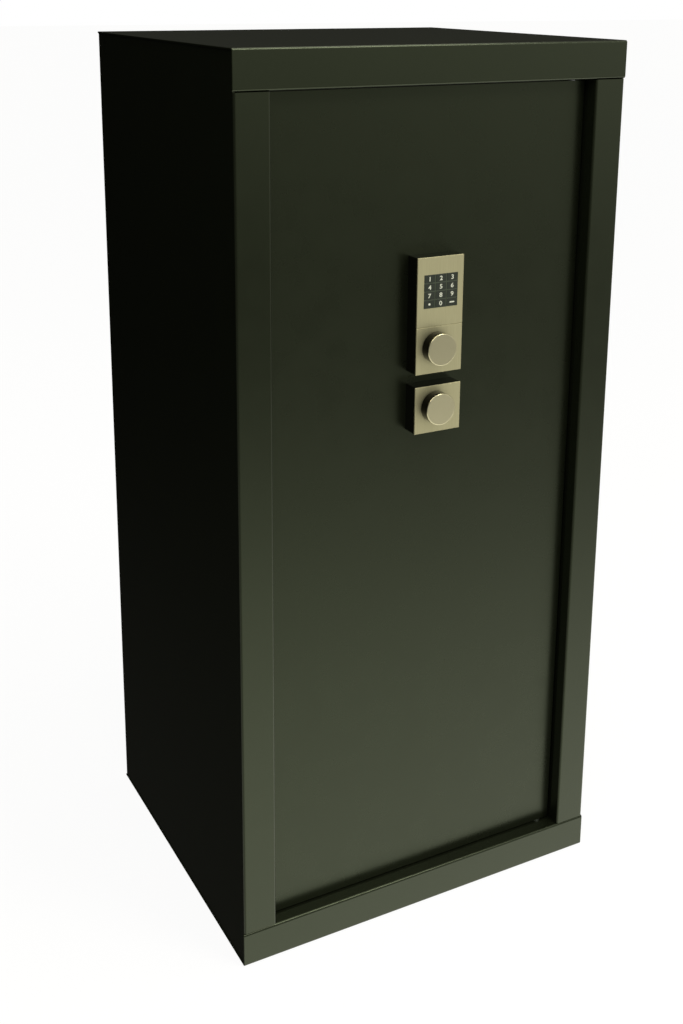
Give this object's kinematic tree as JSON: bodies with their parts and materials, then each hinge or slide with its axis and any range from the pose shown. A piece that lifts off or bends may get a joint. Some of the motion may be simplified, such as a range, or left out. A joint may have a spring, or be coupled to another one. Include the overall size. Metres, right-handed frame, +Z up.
{
  "type": "gun safe",
  "caption": "Tall free-standing steel gun safe with an inset hinged door, keypad lock, two round knobs, sliding boltwork and a lined cavity with shelf and barrel rest.",
  "frame": {"origin": "centre of the base, on the floor", "axes": "+Z up along the body height, -Y out of the door's front, +X to the right of somebody facing the door"},
  "size_m": [0.65, 0.586, 1.4],
  "materials": {
    "body_paint": "gloss",
    "door_paint": "gloss",
    "housing_paint": "gloss",
    "satin_nickel": "brushed",
    "knob_chrome": "polished",
    "bolt_steel": "polished",
    "zinc_steel": "satin",
    "lock_body": "satin",
    "bronze": "satin",
    "coil": "satin",
    "seal_rubber": "matte",
    "carpet": "matte",
    "foam": "matte",
    "key_plastic": "satin",
    "grid_plastic": "satin",
    "board": "satin",
    "battery": "gloss"
  },
  "bodies": {
    "cabinet": {"left_side_panel": "body_paint", "right_side_panel": "body_paint", "top_panel": "body_paint", "base_panel": "body_paint", "back_panel": "body_paint", "door_stops": "body_paint", "door_seal": "seal_rubber", "hinge_lugs": "body_paint", "hinge_pins": "zinc_steel", "hinge_washers": "zinc_steel", "wall_liners": "carpet", "floor_mat": "carpet", "shelf": "carpet", "shelf_supports": "zinc_steel", "barrel_rest": "foam"},
    "door": {"door_plate": "door_paint", "spindle_bushes": "bronze", "boltwork_sides": "door_paint", "boltwork_rails": "door_paint", "inner_cover": "door_paint", "cover_screws": "zinc_steel", "hinge_side_bolts": "bolt_steel", "bolt_bushes": "bronze", "hinge_blocks": "door_paint", "carrier_guide": "door_paint", "lock_case": "lock_body", "lock_case_cover": "zinc_steel", "lock_solenoid": "coil", "upper_housing": "housing_paint", "lower_housing": "housing_paint", "keypad_faceplate": "satin_nickel", "lock_faceplate": "satin_nickel", "bolt_faceplate": "satin_nickel", "housing_screws": "zinc_steel", "keypad_grid": "grid_plastic", "keypad_board": "board", "battery_tray": "board", "batteries": "battery", "lock_cable": "seal_rubber"},
    "boltwork": {"bolt_carrier": "zinc_steel", "locking_bolts": "bolt_steel", "bolt_pins": "zinc_steel"},
    "bolt_handle": {"bolt_knob": "knob_chrome", "drive_pinion": "zinc_steel"},
    "lock_handle": {"lock_knob": "knob_chrome", "lock_spindle": "zinc_steel"},
    "locking_slide": {"lock_bolt": "zinc_steel"},
    "plunger": {"solenoid_plunger": "zinc_steel"},
    "keypad_key_clear": {"key_clear": "key_plastic"},
    "keypad_key_0": {"key_0": "key_plastic"},
    "keypad_key_enter": {"key_enter": "key_plastic"},
    "keypad_key_7": {"key_7": "key_plastic"},
    "keypad_key_8": {"key_8": "key_plastic"},
    "keypad_key_9": {"key_9": "key_plastic"},
    "keypad_key_4": {"key_4": "key_plastic"},
    "keypad_key_5": {"key_5": "key_plastic"},
    "keypad_key_6": {"key_6": "key_plastic"},
    "keypad_key_1": {"key_1": "key_plastic"},
    "keypad_key_2": {"key_2": "key_plastic"},
    "keypad_key_3": {"key_3": "key_plastic"}
  },
  "joints": [
    {"name": "door_hinge", "type": "hinge", "parent": "cabinet", "child": "door", "pos_m": [0.247, -0.248, 0.7], "axis": [0, 0, 1], "range_deg": [0, 105]},
    {"name": "bolt_handle_turn", "type": "hinge", "parent": "door", "child": "bolt_handle", "pos_m": [-0.005, -0.29, 0.8675], "axis": [0, 1, 0], "range_deg": [0, 90]},
    {"name": "bolt_throw", "type": "slide", "parent": "door", "child": "boltwork", "axis": [-1, 0, 0], "range_m": [0, 0.02199]},
    {"name": "lock_handle_turn", "type": "hinge", "parent": "door", "child": "lock_handle", "pos_m": [-0.005, -0.29, 0.9596], "axis": [0, 1, 0], "range_deg": [0, 90]},
    {"name": "lock_bolt_throw", "type": "slide", "parent": "door", "child": "locking_slide", "axis": [0, 0, -1], "range_m": [0, 0.01257]},
    {"name": "plunger_slide", "type": "slide", "parent": "door", "child": "plunger", "axis": [-1, 0, 0], "range_m": [0, 0.0045]},
    {"name": "key_clear_press", "type": "slide", "parent": "door", "child": "keypad_key_clear", "axis": [0, 1, 0], "range_m": [0, 0.0007], "stiffness_N_per_m": 2000},
    {"name": "key_0_press", "type": "slide", "parent": "door", "child": "keypad_key_0", "axis": [0, 1, 0], "range_m": [0, 0.0007], "stiffness_N_per_m": 2000},
    {"name": "key_enter_press", "type": "slide", "parent": "door", "child": "keypad_key_enter", "axis": [0, 1, 0], "range_m": [0, 0.0007], "stiffness_N_per_m": 2000},
    {"name": "key_7_press", "type": "slide", "parent": "door", "child": "keypad_key_7", "axis": [0, 1, 0], "range_m": [0, 0.0007], "stiffness_N_per_m": 2000},
    {"name": "key_8_press", "type": "slide", "parent": "door", "child": "keypad_key_8", "axis": [0, 1, 0], "range_m": [0, 0.0007], "stiffness_N_per_m": 2000},
    {"name": "key_9_press", "type": "slide", "parent": "door", "child": "keypad_key_9", "axis": [0, 1, 0], "range_m": [0, 0.0007], "stiffness_N_per_m": 2000},
    {"name": "key_4_press", "type": "slide", "parent": "door", "child": "keypad_key_4", "axis": [0, 1, 0], "range_m": [0, 0.0007], "stiffness_N_per_m": 2000},
    {"name": "key_5_press", "type": "slide", "parent": "door", "child": "keypad_key_5", "axis": [0, 1, 0], "range_m": [0, 0.0007], "stiffness_N_per_m": 2000},
    {"name": "key_6_press", "type": "slide", "parent": "door", "child": "keypad_key_6", "axis": [0, 1, 0], "range_m": [0, 0.0007], "stiffness_N_per_m": 2000},
    {"name": "key_1_press", "type": "slide", "parent": "door", "child": "keypad_key_1", "axis": [0, 1, 0], "range_m": [0, 0.0007], "stiffness_N_per_m": 2000},
    {"name": "key_2_press", "type": "slide", "parent": "door", "child": "keypad_key_2", "axis": [0, 1, 0], "range_m": [0, 0.0007], "stiffness_N_per_m": 2000},
    {"name": "key_3_press", "type": "slide", "parent": "door", "child": "keypad_key_3", "axis": [0, 1, 0], "range_m": [0, 0.0007], "stiffness_N_per_m": 2000}
  ],
  "couplings": [
    {"joint": "bolt_handle_turn", "follows": "bolt_throw", "rad_per_m": 71.429},
    {"joint": "lock_bolt_throw", "follows": "lock_handle_turn", "m_per_rad": 0.008}
  ]
}
